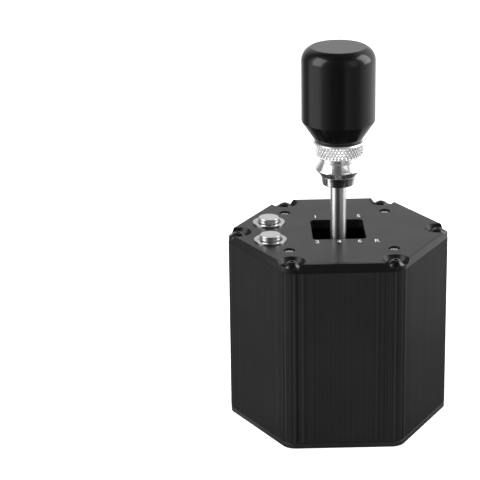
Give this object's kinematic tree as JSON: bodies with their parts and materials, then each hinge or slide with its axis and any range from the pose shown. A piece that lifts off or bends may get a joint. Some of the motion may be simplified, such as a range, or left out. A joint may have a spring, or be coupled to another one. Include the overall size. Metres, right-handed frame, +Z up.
{
  "type": "gear shifter",
  "caption": "Gear lever for a driving simulator on a two-axis gimbal in a hexagonal case, with an H gate, a knob on a knurled collar and push buttons.",
  "frame": {"origin": "middle of the base plate's underside", "axes": "+Z up along the lever, +X to the driver's right, front face towards -Y"},
  "size_m": [0.1222, 0.108, 0.213],
  "materials": {
    "housing_anodised": "black anodised extrusion, satin",
    "plate_anodised": "dark grey anodised plate, satin",
    "base_black": "black, satin",
    "screw_black": "black oxide",
    "button_steel": "stainless, fine turned",
    "lever_steel": "polished steel",
    "ring_steel": "knurled, bright",
    "knob_black": "black anodised, gloss",
    "brass": "turned",
    "machined_aluminium": "machined",
    "zinc_steel": "zinc plated",
    "spring_steel": "spring wire",
    "bearing_steel": "ground",
    "magnet": "nickel plated",
    "circuit_board": "solder mask",
    "nylon_white": "moulded",
    "switch_plastic": "moulded"
  },
  "bodies": {
    "case": {"base_plate": "base_black", "housing": "housing_anodised", "top_plate": "plate_anodised", "top_screws": "screw_black", "base_screws": "screw_black", "base_nuts": "zinc_steel", "station_screws": "screw_black", "upper_standoffs": "zinc_steel", "pivot_frame": "machined_aluminium", "lower_standoffs": "zinc_steel", "gate_plate": "machined_aluminium", "gate_screws": "screw_black", "select_bearings": "bearing_steel", "select_sensor_board": "circuit_board", "select_board_screws": "zinc_steel", "left_centring_spring": "spring_steel", "right_centring_spring": "spring_steel", "spring_posts": "zinc_steel", "main_board": "circuit_board", "board_standoffs": "brass", "board_screws": "zinc_steel", "usb_socket": "zinc_steel", "front_button_body": "button_steel", "front_button_spring": "spring_steel", "front_button_nut": "zinc_steel", "front_button_switch": "switch_plastic", "rear_button_body": "button_steel", "rear_button_spring": "spring_steel", "rear_button_nut": "zinc_steel", "rear_button_switch": "switch_plastic"},
    "yoke": {"yoke": "machined_aluminium", "select_pins": "bearing_steel", "select_magnet": "magnet", "shift_bearings": "bearing_steel", "shift_sensor_board": "circuit_board", "shift_board_screws": "zinc_steel", "detent_leaf": "spring_steel", "leaf_screw": "zinc_steel", "thrust_washers": "nylon_white"},
    "hub": {"lever_hub": "machined_aluminium", "shift_pins": "bearing_steel", "shift_magnet": "magnet", "detent_cam": "brass", "press_spring": "spring_steel", "press_sensor": "circuit_board"},
    "stick": {"lever_rod": "lever_steel", "spring_retainer": "zinc_steel", "stop_nut": "zinc_steel", "follower_sleeve": "nylon_white", "follower_screw": "zinc_steel", "lower_sleeve": "lever_steel", "flared_collar": "lever_steel", "lock_ring": "ring_steel", "knob_insert": "brass", "knob": "knob_black"},
    "front_button": {"front_button_cap": "button_steel"},
    "rear_button": {"rear_button_cap": "button_steel"}
  },
  "joints": [
    {"name": "select_pivot", "type": "hinge", "parent": "case", "child": "yoke", "pos_m": [0, 0, 0.065], "axis": [0, 1, 0], "range_deg": [-12.5, 12.5], "stiffness_Nm_per_rad": 4, "deforming": ["left_centring_spring", "right_centring_spring"]},
    {"name": "shift_pivot", "type": "hinge", "parent": "yoke", "child": "hub", "pos_m": [0, 0, 0.065], "axis": [1, 0, 0], "range_deg": [-13, 13], "deforming": ["detent_leaf"]},
    {"name": "reverse_press", "type": "slide", "parent": "hub", "child": "stick", "axis": [0, 0, -1], "range_m": [0, 0.005], "stiffness_N_per_m": 1500, "springref_m": -0.005, "deforming": ["press_spring"]},
    {"name": "front_button_press", "type": "slide", "parent": "case", "child": "front_button", "axis": [0, 0, -1], "range_m": [0, 0.0018], "stiffness_N_per_m": 800, "springref_m": -0.002, "deforming": ["front_button_spring"]},
    {"name": "rear_button_press", "type": "slide", "parent": "case", "child": "rear_button", "axis": [0, 0, -1], "range_m": [0, 0.0018], "stiffness_N_per_m": 800, "springref_m": -0.002, "deforming": ["rear_button_spring"]}
  ]
}
